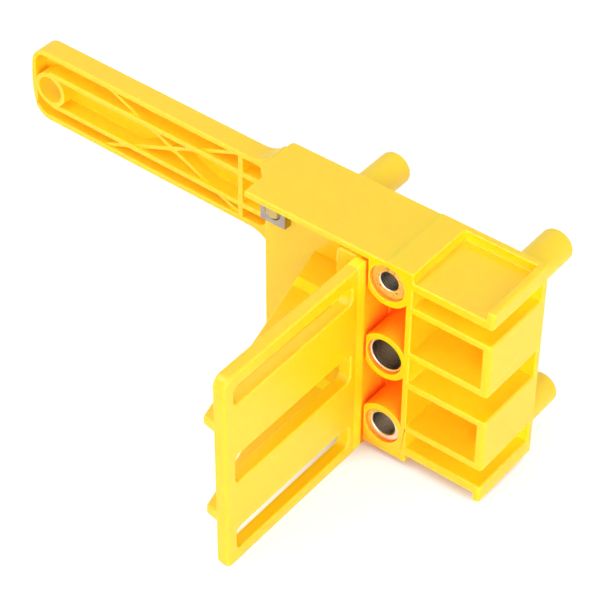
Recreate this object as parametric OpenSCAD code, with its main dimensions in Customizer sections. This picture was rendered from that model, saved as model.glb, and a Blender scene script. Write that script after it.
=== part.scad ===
// Doweling jig: a moulded drill block with three hard bushes, a fence that slides on its flat
// wall, centring pins behind it and a handle that swings on one bolt.
// Origin: axis of the middle bush at the working face. X runs along the block, away from the
// handle. Y runs out of the working face. Z is up. Sizes are in millimetres.

/* [Drill bushes] */
// Distance between neighbouring bush axes
bush_pitch = 27.5; // [26.5:0.5:29]
// Bore of the top bush
bore_top_d = 6; // [5:0.5:8]
// Bore of the middle bush
bore_mid_d = 10; // [8:0.5:10]
// Bore of the bottom bush
bore_low_d = 8; // [6:0.5:10]
// Outside diameter of the bushes
bush_d = 12; // [11.5:0.1:12.5]
// Depth of a bush face behind the front plane
bush_inset = 1; // [0.5:0.1:2]
// Chamfer at the mouth of each bush
bush_chamfer = 0.5; // [0.2:0.1:0.7]
// Diameter of the boss round each bush
boss_d = 16; // [15:0.5:17]
// Inside width of the recess that holds the bosses
recess_w = 13; // [12.5:0.5:14]

/* [Drill block] */
// Depth from the front plane to the working face
body_depth = 26.6; // [24:0.2:30]
// Height of the top face above the top bush axis
top_margin = 7.7; // [7.5:0.1:9]
// Depth of the base below the bottom bush axis
base_margin = 9.7; // [9:0.1:12]
// Distance from the bush axes to the comb end
block_right = 35; // [33.5:0.5:38]
// Thickness of the web between the bushes and the comb
web_t = 2.1; // [1.5:0.1:3]
// Thickness of the wall at the working face
back_wall_t = 2.2; // [1.8:0.1:3]
// Thickness of the top plate
top_plate_t = 6; // [5:0.5:6.5]
// Depth of the panel sunk into the top plate
panel_depth = 3.1; // [1:0.1:3.5]
// Border right of the panel
panel_border = 2.4; // [2:0.1:4]
// Border behind the panel
panel_back_border = 2.3; // [1.5:0.1:3]
// Thickness of the bottom plate
bottom_plate_t = 5.9; // [5:0.1:6.5]
// Depth of the panel sunk into the underside of the bottom plate
base_panel_depth = 2.9; // [1:0.1:3.5]
// Gap between the top plate and the upper box of the comb
comb_top_gap = 5.9; // [4:0.1:8]
// Gap between the two boxes of the comb
comb_mid_gap = 9.5; // [6:0.1:12]
// Gap between the lower box of the comb and the bottom plate
comb_low_gap = 6.7; // [4:0.1:8]
// Wall of the boxes above and below
box_wall = 2.2; // [1.6:0.1:3]
// Wall of the boxes at the comb end
box_end_wall = 2.8; // [2:0.1:4]

/* [Bracket] */
// Distance from the bush axes to the left edge of the flat wall
bracket_left = 52.1; // [51.8:0.1:53]
// Depth of the flat wall behind the front plane
flat_inset = 11.4; // [11:0.1:12]
// Thickness of the flat wall
flat_wall_t = 3; // [2.5:0.1:3.3]
// Thickness of the flange
flange_t = 2.5; // [2:0.1:2.7]
// Distance from the bush axes to the flange's left end at the front
flange_front_left = 50.4; // [49:0.1:52]
// Distance from the bush axes to the flange's left end at the back
flange_back_left = 53.8; // [53.5:0.1:56]
// Length of the narrow front part of the flange
flange_step_y = 8.4; // [6:0.2:10]
// Length of the slant that widens the flange
flange_slant = 3.3; // [2:0.1:4]
// Corner radius of the flange
flange_corner_r = 1.5; // [1:0.5:4]
// Thickness of the bracket's base wall
base_wall_t = 2.5; // [2:0.1:3.5]
// Height of the corner wall at the lower left
corner_wall_h = 7.2; // [4:0.1:9]
// Thickness of the corner wall
corner_wall_t = 2.2; // [1.5:0.1:3]
// Thickness of the wall left of the bushes
recess_wall_t = 2.2; // [1.8:0.1:2.3]
// Diameter of the boss behind the flat wall at the pivot
pivot_boss_d = 13; // [10:0.5:16]
// Height of the step across the top face
top_step = 0.35; // [0.1:0.05:0.6]
// Distance from the bush axes to the step, towards the handle
top_step_left = 0.6; // [0.2:0.1:2]

/* [Handle] */
// Distance from the bush axes to the pivot bolt
pivot_left = 46.9; // [46.7:0.1:47.2]
// Depth of the pivot bolt below the flange
pivot_drop = 9.1; // [9:0.1:9.7]
// Length from the pivot to the far end
handle_len = 104.7; // [95:0.1:130]
// Height of the handle
handle_h = 26.4; // [25:0.2:27]
// Thickness of the handle
handle_t = 7.3; // [6.8:0.1:7.4]
// Height of the handle's top edge above the pivot
handle_above = 5; // [4:0.1:5.2]
// Wall round the handle's pocket
handle_wall = 1.9; // [1.5:0.1:2.4]
// Floor behind the handle's pocket
handle_floor = 2; // [1.6:0.1:3]
// Corner radius at the handle's far end
handle_corner_r = 6; // [3:0.5:7]
// Radius of the curve across the far end
handle_end_r = 45; // [30:1:80]
// Upward tilt of the resting handle in degrees
handle_tilt = 1; // [0:0.1:1.2]
// Depth of the handle behind the working face
handle_inset = 0.3; // [0.1:0.1:0.4]
// Diameter of the hanging hole
hang_hole_d = 9.2; // [7:0.2:9.6]
// Diameter of the ring round the hanging hole
hang_ring_d = 12; // [11:0.2:13]
// Distance from the far end to the hanging hole
hang_inset = 7.5; // [7:0.1:9]
// Depth of the hole and rib line below the handle's middle
rib_line_drop = 0.9; // [0:0.1:1]
// Distance between the two long ribs
rib_spacing = 11.8; // [10:0.1:13]
// Thickness of the long ribs
rib_t = 1.8; // [1.2:0.1:2.4]
// Distance from the pivot to the cross rib
cross_rib_reach = 20.6; // [19:0.1:22]
// Distance from the pivot to the near ends of the crossed braces
brace_near = 22.5; // [22:0.1:26]
// Distance from the pivot to the far ends of the crossed braces
brace_far = 73.6; // [60:0.1:80]
// Thickness of the crossed braces
brace_t = 1.3; // [1:0.1:2]
// Depth of the braces behind the rim
brace_inset = 1; // [0.5:0.1:2]
// Distance from the pivot to the pocket's near end
pocket_near = 10.6; // [10:0.1:12]
// Radius of the flare where the handle widens
flare_r = 10; // [6:0.5:12]
// Widening of the handle at the flare
flare_rise = 3.5; // [2:0.1:3.6]
// Distance from the pivot to the start of the flare
flare_start = 17.1; // [16:0.1:18]
// Width of the hub's lower end
hub_foot = 5; // [2:0.5:8]

/* [Fence] */
// Thickness of the fence plate
fence_t = 4.2; // [3:0.1:5]
// Reach of the fence in front of the front plane
fence_reach = 61.8; // [50:1:80]
// Radius of the upper corner at the fence's far end
fence_corner_r = 3.5; // [1:0.5:5]
// Radius of the lower corner at the fence's far end
fence_low_corner_r = 1.5; // [1:0.5:5]
// Depth of the fence's lower edge below the base
fence_base_drop = 2.2; // [0:0.1:3]
// Gap between the fence plate and the block
fence_side_gap = 0.25; // [0.1:0.05:0.4]
// Depth of the relief on the fence's face beside the block
fence_relief = 0.4; // [0.1:0.1:0.8]
// Reach of that relief in front of the block
fence_relief_reach = 4.2; // [2:0.1:6]
// Distance from the front plane to the slots
slot_near = 6.4; // [5:0.2:10]
// Distance from the slots to the fence's far edge
slot_far = 4.2; // [3:0.2:8]
// Depth of the slot middles below the bush axes
slot_drop = 3.5; // [2:0.1:3.6]
// Extra width of a slot over its dowel
slot_play = 0.4; // [0.2:0.1:0.6]
// Corner radius of the slots
slot_corner_r = 2; // [1:0.1:2.6]
// Width of the root block beside the plate
root_w = 6.7; // [6.5:0.1:8]
// Corner radius on top of the root block
root_corner_r = 1.8; // [1:0.1:3]
// Thickness of the gussets
gusset_t = 3.2; // [1.5:0.1:3.5]
// Width of the gussets at the flat wall
gusset_root = 23; // [18:0.5:26]
// Width of the gussets at the far end
gusset_tip = 4.8; // [3:0.1:8]
// Distance from the gussets to the fence's far edge
gusset_end = 0.8; // [0:0.1:3]
// Slant of the gussets' far ends
gusset_slant = 0.8; // [0:0.1:2]
// Depth of the upper gusset's top face below the top bush axis
upper_gusset_drop = 13.6; // [13:0.1:14.5]
// Height of the lower gusset's top face above the bottom bush axis
lower_gusset_rise = 6.8; // [5.5:0.1:8.5]
// Travel of the fence along the flat wall
fence_travel = 10; // [6:1:10]
// Gap between the fence and what it slides along
slide_gap = 0.1; // [0.05:0.05:0.2]
// Gap between the fence's top and the flange
fence_top_gap = 0.8; // [0.2:0.1:1.2]

/* [Centring pins] */
// Distance from the bush axes to the left pins
pin_left = 28.5; // [28:0.1:29]
// Distance from the bush axes to the right pins
pin_right = 27.4; // [27:0.1:28]
// Diameter of a pin
pin_d = 10.6; // [9:0.2:12]
// Length of a pin behind the working face
pin_len = 16.9; // [12:0.1:25]
// Rounding of a pin's free end
pin_round = 1; // [0.5:0.1:1.5]
// Diameter of the spigot that is pressed into the body
spigot_d = 5; // [4:0.1:5]
// Length of the spigot
spigot_len = 9; // [6:0.5:9]
// Diameter of the bosses that hold the left pins
pin_boss_d = 11; // [9:0.5:12]
// Width of the blocks that hold the right pins
pin_block_w = 7; // [7:0.1:7.4]

/* [Hardware] */
// Diameter of the pivot bolt
bolt_d = 5; // [4:0.1:5]
// Length of the pivot bolt under its head
bolt_len = 15.5; // [15.4:0.1:16]
// Head diameter of the pivot bolt
bolt_head_d = 9.5; // [8:0.1:9.5]
// Head height of the pivot bolt
bolt_head_h = 2.6; // [2:0.1:2.6]
// Diameter of the pivot washer
washer_d = 10; // [9:0.1:10]
// Thickness of the pivot washer
washer_t = 1; // [0.5:0.1:1]
// Side of the square nut
nut_side = 9.2; // [8:0.1:9.4]
// Thickness of the square nut
nut_t = 2.9; // [2.5:0.1:3.2]
// Diameter of the fence screws
screw_d = 4; // [3:0.1:4]
// Length of a fence screw under its head
screw_len = 12; // [10:0.5:12]
// Head diameter of a fence screw
screw_head_d = 7.6; // [7:0.1:8]
// Head height of a fence screw
screw_head_h = 2.4; // [2:0.1:2.6]
// Diameter of the washer under a fence screw
screw_washer_d = 9; // [8:0.1:9]
// Thickness of the washer under a fence screw
screw_washer_t = 0.8; // [0.5:0.1:0.8]
// Diameter of the threaded insert in the fence
insert_d = 6; // [5.4:0.1:6]
// Length of the threaded insert
insert_len = 8; // [6:0.5:8]
// Room left in front of each insert
insert_relief = 1; // [0.5:0.1:1.5]
// Distance from the bush axes to the fence screws
screw_left = 13.6; // [13.5:0.1:13.8]
// Height of the upper fence screw
upper_screw_z = 6; // [4:0.1:6.5]
// Depth of the lower fence screw
lower_screw_drop = 15.4; // [14:0.1:15.4]
// Radial running clearance on the pivot bolt
running_gap = 0.05; // [0.02:0.01:0.1]
// Radial clearance of a washer or slot round its screw
hole_gap = 0.25; // [0.15:0.05:0.3]
// Width of the hexagon sockets
socket_w = 3; // [2.5:0.1:3.5]
// Depth of the hexagon sockets
socket_depth = 1.4; // [1:0.1:1.8]

/* [Hidden] */
$fn = 64;
// Overrun of every cut past the faces that it opens
overrun = 1;
// Straight pieces in each arc of the handle's outline
arc_steps = 12;
plastic = "gold";
steel = "silver";
brass = "darkkhaki";

body_up = bush_pitch + top_margin;
body_down = bush_pitch + base_margin;
front_y = -body_depth;
recess_left = -recess_w / 2;
recess_right = recess_w / 2;
web_right = recess_right + web_t;
top_plate_z = body_up - top_plate_t;
bottom_plate_z = -body_down + bottom_plate_t;
comb_gaps = comb_top_gap + comb_mid_gap + comb_low_gap;
box_h = (top_plate_z - bottom_plate_z - comb_gaps) / 2;
upper_box_z = top_plate_z - comb_top_gap - box_h;
lower_box_z = bottom_plate_z + comb_low_gap;
flange_z = body_up - flange_t;
flat_y = front_y + flat_inset;
wall_back_y = flat_y + flat_wall_t;
box_back_y = -back_wall_t;
pivot_x = -pivot_left;
pivot_up = flange_z - pivot_drop;
handle_back_y = -handle_inset;
handle_front_y = handle_back_y - handle_t;
hub_r = handle_above + flare_rise;
hub_counterbore = bolt_head_h + washer_t + hole_gap;
washer_seat_y = handle_back_y - hub_counterbore;
bolt_seat_y = washer_seat_y + washer_t;
fence_right = recess_left - fence_side_gap;
fence_left = fence_right - fence_t;
fence_back_y = flat_y - slide_gap;
fence_top_z = flange_z - fence_top_gap;
fence_low_z = -body_down - fence_base_drop;
fence_far_y = front_y - fence_reach;
screw_seat_y = wall_back_y + screw_washer_t;

// A block between two corners
module block(low, high) {
    translate(low) cube(high - low);
}

// A round bar along Y from y0 to y1 at x and z
module bar(x, z, y0, y1, d) {
    translate([x, y0, z]) rotate([-90, 0, 0]) cylinder(d = d, h = y1 - y0);
}

// A flat outline in X and Z, made solid from y0 to y1
module sheet(y0, y1) {
    translate([0, y1, 0]) rotate([90, 0, 0]) linear_extrude(y1 - y0) children();
}

// A flat outline in Y and Z, made solid from x0 to x1
module rail(x0, x1) {
    translate([x0, 0, 0]) rotate([90, 0, 90]) linear_extrude(x1 - x0) children();
}

// What a rounding of radius r takes off a corner at the origin that fills the first quadrant
module corner_waste(r) {
    difference() {
        translate([-overrun, -overrun]) square(r + overrun);
        translate([r, r]) circle(r);
    }
}

// A rectangle with four round corners
module round_rect(low, high, r) {
    translate(low + [r, 0]) square([high[0] - low[0] - 2 * r, high[1] - low[1]]);
    translate(low + [0, r]) square([high[0] - low[0], high[1] - low[1] - 2 * r]);
    for (x = [low[0] + r, high[0] - r], y = [low[1] + r, high[1] - r])
        translate([x, y]) circle(r);
}

// A slot of a given width whose end arcs are centred at from and to, which share one height
module slot(from, to, width) {
    translate(from - [0, width / 2]) square([to[0] - from[0], width]);
    for (end = [from, to]) translate(end) circle(width / 2);
}

// The bosses in the recess, cut to the recess width
module bosses() {
    intersection() {
        for (z = [-bush_pitch, 0, bush_pitch]) bar(0, z, front_y, 0, boss_d);
        block([recess_left, front_y, -body_down], [recess_right, 0, body_up]);
    }
}

// One hollow box of the comb that stands on low_z
module comb_box(low_z) {
    difference() {
        block([recess_right, front_y, low_z], [block_right, 0, low_z + box_h]);
        block([web_right, front_y - overrun, low_z + box_wall],
              [block_right - box_end_wall, box_back_y, low_z + box_h - box_wall]);
    }
}

// The comb's top plate with its sunken panel, open at the front
module top_plate() {
    difference() {
        block([recess_right, front_y, top_plate_z], [block_right, 0, body_up]);
        block([web_right, front_y - overrun, body_up - panel_depth],
              [block_right - panel_border, -panel_back_border, body_up + overrun]);
    }
}

// The comb's bottom plate with the panel sunk into its underside, open at the front
module bottom_plate() {
    difference() {
        block([recess_right, front_y, -body_down], [block_right, 0, bottom_plate_z]);
        block([web_right, front_y - overrun, -body_down - overrun],
              [block_right - panel_border, -panel_back_border, -body_down + base_panel_depth]);
    }
}

// The block between two heights that holds the spigot of a right pin
module pin_block(low_z, high_z) {
    block([pin_right - pin_block_w / 2, -spigot_len - back_wall_t, low_z - box_wall / 2],
          [pin_right + pin_block_w / 2, 0, high_z + box_wall / 2]);
}

// The seats of two centring pins at x
module spigot_holes(x) {
    for (z = [-bush_pitch, bush_pitch]) bar(x, z, -spigot_len, overrun, spigot_d);
}

// What lowers the top face left of the step
module top_waste() {
    block([-flange_back_left - overrun, front_y - overrun, body_up - top_step],
          [-top_step_left, overrun, body_up + overrun]);
}

// The middle of the moulding, which holds the bushes. The comb and the bracket join its sides
module bush_housing() {
    color(plastic) difference() {
        union() {
            bosses();
            block([recess_left, front_y, top_plate_z], [recess_right, 0, body_up]);
            block([recess_left, front_y, -body_down], [recess_right, 0, bottom_plate_z]);
            block([recess_left, box_back_y, -body_down], [recess_right, 0, body_up]);
        }
        for (z = [-bush_pitch, 0, bush_pitch])
            bar(0, z, front_y - overrun, overrun, bush_d);
        top_waste();
    }
}

// The right end of the moulding
module comb() {
    color(plastic) difference() {
        union() {
            top_plate();
            for (low_z = [upper_box_z, lower_box_z]) comb_box(low_z);
            bottom_plate();
            block([recess_right, front_y, -body_down], [web_right, 0, body_up]);
            block([recess_right, box_back_y, bottom_plate_z - box_wall / 2],
                  [block_right, 0, top_plate_z + box_wall / 2]);
            pin_block(upper_box_z + box_h, top_plate_z);
            pin_block(bottom_plate_z, lower_box_z);
        }
        spigot_holes(pin_right);
    }
}

// The flange over the flat wall, wider behind the flat face than in front of it
module flange() {
    slant_y = front_y + flange_step_y;
    difference() {
        translate([0, 0, flange_z]) linear_extrude(flange_t)
            polygon([[recess_left, front_y], [-flange_front_left, front_y],
                     [-flange_front_left, slant_y],
                     [-flange_back_left, slant_y + flange_slant],
                     [-flange_back_left, 0], [recess_left, 0]]);
        translate([-flange_back_left, 0, flange_z - overrun]) mirror([0, 1, 0])
            linear_extrude(flange_t + 2 * overrun) corner_waste(flange_corner_r);
    }
}

// What stands of the bracket: a flat wall, and the cavity behind it, open to the back and left
module bracket_walls() {
    wall_top_z = flange_z + flange_t / 2;
    flange();
    block([-bracket_left, flat_y, -body_down], [recess_left, wall_back_y, wall_top_z]);
    block([-bracket_left, flat_y, -body_down], [recess_left, 0, -body_down + base_wall_t]);
    block([-bracket_left, flat_y, -body_down],
          [-bracket_left + corner_wall_t, 0, -body_down + corner_wall_h]);
    block([recess_left - recess_wall_t, flat_y, -body_down], [recess_left, 0, wall_top_z]);
    bar(pivot_x, pivot_up, flat_y, handle_front_y - slide_gap, pivot_boss_d);
    for (z = [-bush_pitch, bush_pitch]) bar(-pin_left, z, flat_y, 0, pin_boss_d);
    block([-pin_left - rib_t / 2, flat_y, bush_pitch], [-pin_left + rib_t / 2, 0, wall_top_z]);
    block([-pin_left - rib_t / 2, flat_y, -body_down], [-pin_left + rib_t / 2, 0, -bush_pitch]);
}

// The left end of the moulding
module bracket() {
    color(plastic) difference() {
        bracket_walls();
        spigot_holes(-pin_left);
        bar(pivot_x, pivot_up, flat_y - overrun, overrun, bolt_d + 2 * running_gap);
        for (z = [upper_screw_z, -lower_screw_drop])
            sheet(flat_y - overrun, wall_back_y + overrun)
                slot([-screw_left - fence_travel, z], [-screw_left, z], screw_d + 2 * hole_gap);
        top_waste();
    }
}

// A bush with its bore and a chamfer at its mouth
module bush(z, bore_d) {
    face_y = front_y + bush_inset;
    color(steel) translate([0, face_y, z]) rotate([-90, 0, 0]) difference() {
        cylinder(d = bush_d, h = -face_y);
        translate([0, 0, -overrun]) cylinder(d = bore_d, h = -face_y + 2 * overrun);
        cylinder(d1 = bore_d + 2 * bush_chamfer, d2 = bore_d, h = bush_chamfer);
    }
}

// A centring pin with a rounded end and the spigot that holds it
module centring_pin(x, z) {
    color(plastic) translate([x, 0, z]) rotate([-90, 0, 0]) {
        rotate_extrude() {
            square([pin_d / 2, pin_len - pin_round]);
            square([pin_d / 2 - pin_round, pin_len]);
            translate([pin_d / 2 - pin_round, pin_len - pin_round]) circle(pin_round);
        }
        translate([0, 0, -spigot_len]) cylinder(d = spigot_d, h = spigot_len + pin_round);
    }
}

// Places what it holds at the handle's pivot, tilted as the handle rests
module at_pivot() {
    translate([pivot_x, 0, pivot_up]) rotate([0, handle_tilt, 0]) children();
}

// Points along an arc, from one angle to another
function arc(centre, r, from, to) =
    [for (i = [0 : arc_steps]) centre + r * [cos(from + (to - from) * i / arc_steps),
                                             sin(from + (to - from) * i / arc_steps)]];

// The outline of the handle about its pivot: round far corners joined by a slight curve, a flare
// above and below, and a hub that turns clear of the flange
module handle_outline() {
    low_z = handle_above - handle_h;
    mid_z = handle_above - handle_h / 2;
    end_centre = [-handle_len + handle_end_r, mid_z];
    corner_rise = handle_h / 2 - handle_corner_r;
    corner_run = sqrt(pow(handle_end_r - handle_corner_r, 2) - pow(corner_rise, 2));
    corner_turn = 180 - atan2(corner_rise, corner_run);
    flare_turn = acos((flare_r - flare_rise) / flare_r);
    foot = [-flare_start + flare_r * sin(flare_turn) + hub_foot, low_z - flare_rise];
    hub_turn = atan2(foot[1], foot[0]) + acos(hub_r / norm(foot));
    polygon(concat(
        arc(end_centre + [-corner_run, corner_rise], handle_corner_r, 90, corner_turn),
        arc(end_centre, handle_end_r, corner_turn, 360 - corner_turn),
        arc(end_centre - [corner_run, corner_rise], handle_corner_r, 360 - corner_turn, 270),
        arc([-flare_start, low_z - flare_r], flare_r, 90, 90 - flare_turn),
        [foot],
        arc([0, 0], hub_r, hub_turn, 90),
        arc([-flare_start, handle_above + flare_r], flare_r, flare_turn - 90, -90)));
}

// The pocket in the handle's front
module handle_pocket() {
    round_rect([-handle_len + handle_wall, handle_above - handle_h + handle_wall],
               [-pocket_near, handle_above - handle_wall], handle_corner_r - handle_wall);
}

// The two long ribs, the cross rib and the ring, level with the rim
module handle_ribs() {
    line_z = handle_above - handle_h / 2 - rib_line_drop;
    translate([-handle_len + hang_inset, line_z]) circle(d = hang_ring_d);
    for (z = [line_z - rib_spacing / 2, line_z + rib_spacing / 2])
        translate([-handle_len + hang_inset, z - rib_t / 2])
            square([handle_len - hang_inset - pocket_near + rib_t, rib_t]);
    translate([-cross_rib_reach - rib_t / 2, handle_above - handle_h])
        square([rib_t, handle_h]);
}

// The crossed braces in the middle of the pocket
module handle_braces() {
    span = brace_far - brace_near;
    rise = handle_h - 2 * handle_wall;
    for (side = [-1, 1])
        translate([-(brace_far + brace_near) / 2, handle_above - handle_h / 2])
            rotate(side * atan2(rise, span)) square([2 * span, brace_t], center = true);
}

module handle() {
    line_z = handle_above - handle_h / 2 - rib_line_drop;
    pocket_back_y = handle_back_y - handle_floor;
    color(plastic) at_pivot() difference() {
        sheet(handle_front_y, handle_back_y) handle_outline();
        sheet(handle_front_y - overrun, handle_front_y + brace_inset) difference() {
            handle_pocket();
            handle_ribs();
        }
        sheet(handle_front_y - overrun, pocket_back_y) difference() {
            handle_pocket();
            handle_ribs();
            handle_braces();
        }
        bar(-handle_len + hang_inset, line_z, handle_front_y - overrun, overrun, hang_hole_d);
        bar(0, 0, handle_front_y - overrun, overrun, bolt_d + 2 * running_gap);
        bar(0, 0, washer_seat_y, overrun, washer_d + 2 * hole_gap);
    }
}

// A screw along Y whose round head, seated at seat_y, faces the back and has a hexagon socket.
// Head and shank are each given by diameter and length
module socket_screw(x, z, seat_y, head, shank) {
    socket_y = seat_y + head[1] - socket_depth;
    difference() {
        union() {
            bar(x, z, seat_y, seat_y + head[1], head[0]);
            bar(x, z, seat_y - shank[1], (seat_y + socket_y) / 2, shank[0]);
        }
        translate([x, socket_y, z]) rotate([-90, 0, 0])
            cylinder(d = socket_w / cos(30), h = socket_depth + overrun, $fn = 6);
    }
}

module pivot_bolt() {
    color(brass) socket_screw(pivot_x, pivot_up, bolt_seat_y, [bolt_head_d, bolt_head_h],
                              [bolt_d, bolt_len]);
}

module pivot_washer() {
    color(steel) difference() {
        bar(pivot_x, pivot_up, washer_seat_y, bolt_seat_y, washer_d);
        bar(pivot_x, pivot_up, washer_seat_y - overrun, bolt_seat_y + overrun,
            bolt_d + 2 * hole_gap);
    }
}

module square_nut() {
    color(steel) difference() {
        block([pivot_x - nut_side / 2, flat_y - nut_t, pivot_up - nut_side / 2],
              [pivot_x + nut_side / 2, flat_y, pivot_up + nut_side / 2]);
        bar(pivot_x, pivot_up, flat_y - nut_t - overrun, flat_y + overrun, bolt_d);
    }
}

// The fence plate with its three dowel slots and its round far corners
module fence_plate() {
    rail(fence_left, fence_right) difference() {
        translate([fence_far_y, fence_low_z])
            square([fence_back_y - fence_far_y, fence_top_z - fence_low_z]);
        translate([fence_far_y, fence_low_z]) corner_waste(fence_low_corner_r);
        translate([fence_far_y, fence_top_z]) mirror([0, 1]) corner_waste(fence_corner_r);
        for (row = [[bush_pitch, bore_top_d], [0, bore_mid_d], [-bush_pitch, bore_low_d]]) {
            half_width = (row[1] + slot_play) / 2;
            round_rect([fence_far_y + slot_far, row[0] - slot_drop - half_width],
                       [front_y - slot_near, row[0] - slot_drop + half_width], slot_corner_r);
        }
    }
}

// The block beside the plate that carries the threaded inserts
module fence_root() {
    left = fence_left - root_w;
    sheet(front_y, fence_back_y) difference() {
        translate([left, fence_low_z])
            square([root_w + fence_t / 2, fence_top_z - fence_low_z]);
        translate([left, fence_top_z]) mirror([0, 1]) corner_waste(root_corner_r);
    }
}

// A gusset whose top face lies at top_z
module gusset(top_z) {
    tip_y = fence_far_y + gusset_end;
    plate_x = fence_left + fence_t / 2;
    translate([0, 0, top_z - gusset_t]) linear_extrude(gusset_t)
        polygon([[plate_x, fence_back_y], [fence_left - gusset_root, fence_back_y],
                 [fence_left - gusset_tip, tip_y + gusset_slant], [fence_left, tip_y],
                 [plate_x, tip_y]]);
}

module fence() {
    color(plastic) difference() {
        union() {
            fence_plate();
            fence_root();
            gusset(bush_pitch - upper_gusset_drop);
            gusset(-bush_pitch + lower_gusset_rise);
        }
        block([fence_right - fence_relief, front_y - fence_relief_reach, fence_low_z - overrun],
              [fence_right + overrun, fence_back_y + overrun, fence_top_z + overrun]);
        for (z = [upper_screw_z, -lower_screw_drop])
            bar(-screw_left, z, fence_back_y - insert_len - insert_relief,
                fence_back_y + overrun, insert_d);
    }
}

module insert(z) {
    color(brass) difference() {
        bar(-screw_left, z, fence_back_y - insert_len, fence_back_y, insert_d);
        bar(-screw_left, z, fence_back_y - insert_len - overrun, fence_back_y + overrun,
            screw_d);
    }
}

module fence_screw(z) {
    color(steel) socket_screw(-screw_left, z, screw_seat_y, [screw_head_d, screw_head_h],
                              [screw_d, screw_len]);
}

module fence_washer(z) {
    color(steel) difference() {
        bar(-screw_left, z, wall_back_y, screw_seat_y, screw_washer_d);
        bar(-screw_left, z, wall_back_y - overrun, screw_seat_y + overrun,
            screw_d + 2 * hole_gap);
    }
}

bush_housing();
comb();
bracket();
bush(bush_pitch, bore_top_d);  // bush_6mm
bush(0, bore_mid_d);  // bush_10mm
bush(-bush_pitch, bore_low_d);  // bush_8mm
centring_pin(-pin_left, bush_pitch);  // pin_top_left
centring_pin(pin_right, bush_pitch);  // pin_top_right
centring_pin(-pin_left, -bush_pitch);  // pin_bottom_left
centring_pin(pin_right, -bush_pitch);  // pin_bottom_right
handle();
pivot_bolt();
pivot_washer();
square_nut();
fence();
insert(upper_screw_z);  // insert_upper
insert(-lower_screw_drop);  // insert_lower
fence_screw(upper_screw_z);  // fence_screw_upper
fence_screw(-lower_screw_drop);  // fence_screw_lower
fence_washer(upper_screw_z);  // fence_washer_upper
fence_washer(-lower_screw_drop);  // fence_washer_lower
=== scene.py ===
# %% [markdown]
# # A yellow doweling jig
# The jig is a drilling guide for wooden dowels. A moulded yellow body holds three hardened
# steel bushes, a slotted fence slides on its flat wall, and a ribbed handle swings on one bolt.
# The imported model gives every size. Here its solids get the rounded edges, the turned steel and
# the glossy plastic of the real thing.

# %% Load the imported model
import bpy, bmesh, math
from mathutils import Vector, Matrix


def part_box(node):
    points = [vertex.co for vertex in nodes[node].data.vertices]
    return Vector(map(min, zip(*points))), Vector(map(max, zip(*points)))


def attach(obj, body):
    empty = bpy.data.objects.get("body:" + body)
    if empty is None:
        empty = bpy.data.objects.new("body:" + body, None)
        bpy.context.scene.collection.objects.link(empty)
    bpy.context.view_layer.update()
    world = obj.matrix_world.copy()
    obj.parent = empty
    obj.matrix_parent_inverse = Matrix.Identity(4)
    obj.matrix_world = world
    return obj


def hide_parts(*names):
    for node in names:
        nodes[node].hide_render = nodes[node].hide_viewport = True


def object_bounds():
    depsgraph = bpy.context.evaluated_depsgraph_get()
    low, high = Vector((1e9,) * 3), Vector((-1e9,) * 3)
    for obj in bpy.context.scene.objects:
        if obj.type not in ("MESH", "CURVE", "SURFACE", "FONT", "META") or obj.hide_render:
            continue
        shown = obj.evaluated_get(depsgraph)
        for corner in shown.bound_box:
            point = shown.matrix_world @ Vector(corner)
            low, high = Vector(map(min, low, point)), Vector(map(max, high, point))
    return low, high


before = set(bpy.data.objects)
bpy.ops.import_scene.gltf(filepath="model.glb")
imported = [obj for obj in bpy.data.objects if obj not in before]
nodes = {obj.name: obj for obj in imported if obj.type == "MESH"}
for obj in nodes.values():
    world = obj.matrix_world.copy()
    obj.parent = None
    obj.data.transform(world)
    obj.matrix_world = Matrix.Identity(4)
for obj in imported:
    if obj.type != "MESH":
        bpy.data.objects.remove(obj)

cad_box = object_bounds()
mm = 0.001
print("nodes", sorted(nodes))
print("box in mm", [[round(v / mm, 1) for v in corner] for corner in cad_box])

# %% [markdown]
# ## Camera and view
# The photograph looks down on the jig from the front right with a long lens. The place of the
# camera was worked out from the block's edges, so it is typed here as two angles, a distance and
# the point that it looks at.

# %% Camera
scene = bpy.context.scene
scene.view_settings.view_transform = "Standard"
azimuth, elevation, roll = math.radians(37.637), math.radians(41.953), math.radians(0.47)
target = Vector((-27.9, -26.6, 3.8)) * mm
distance = 629.9 * mm
toward_camera = Vector((math.sin(azimuth) * math.cos(elevation),
                        -math.cos(azimuth) * math.cos(elevation), math.sin(elevation)))
camera_data = bpy.data.cameras.new("camera")
camera_data.sensor_width = 36
camera_data.lens = 129.19
camera_data.clip_start = 0.01
camera = bpy.data.objects.new("camera", camera_data)
scene.collection.objects.link(camera)
camera.location = target + toward_camera * distance
turn = Matrix.Rotation(azimuth, 4, "Z") @ Matrix.Rotation(math.pi / 2 - elevation, 4, "X")
camera.rotation_euler = (turn @ Matrix.Rotation(roll, 4, "Z")).to_euler()
scene.camera = camera
print("camera at", [round(v, 4) for v in camera.location])

# %% [markdown]
# ## Helpers for modelling
# Blender's operators act on what is selected, and loading leaves the solids selected. So each
# step first deselects everything and then picks faces or edges by their place or direction, as a
# modeller would click them.

# %% Helpers
def only(piece):
    bpy.ops.object.select_all(action="DESELECT")
    piece.select_set(True)
    bpy.context.view_layer.objects.active = piece
    return piece

def edit(piece, mode="FACE"):
    only(piece)
    bpy.ops.object.mode_set(mode="EDIT")
    bpy.ops.mesh.select_mode(type=mode)
    bpy.ops.mesh.select_all(action="DESELECT")
    return bmesh.from_edit_mesh(piece.data)

def done(piece):
    bmesh.update_edit_mesh(piece.data)
    bpy.ops.object.mode_set(mode="OBJECT")

def pick(mesh, items, test):
    found = [item for item in items if test(item)]
    for item in found:
        item.select_set(True)
    mesh.select_flush_mode()
    return found

def finish_modifiers(piece):
    only(piece)
    for name in [m.name for m in piece.modifiers]:
        bpy.ops.object.modifier_apply(modifier=name)

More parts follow.
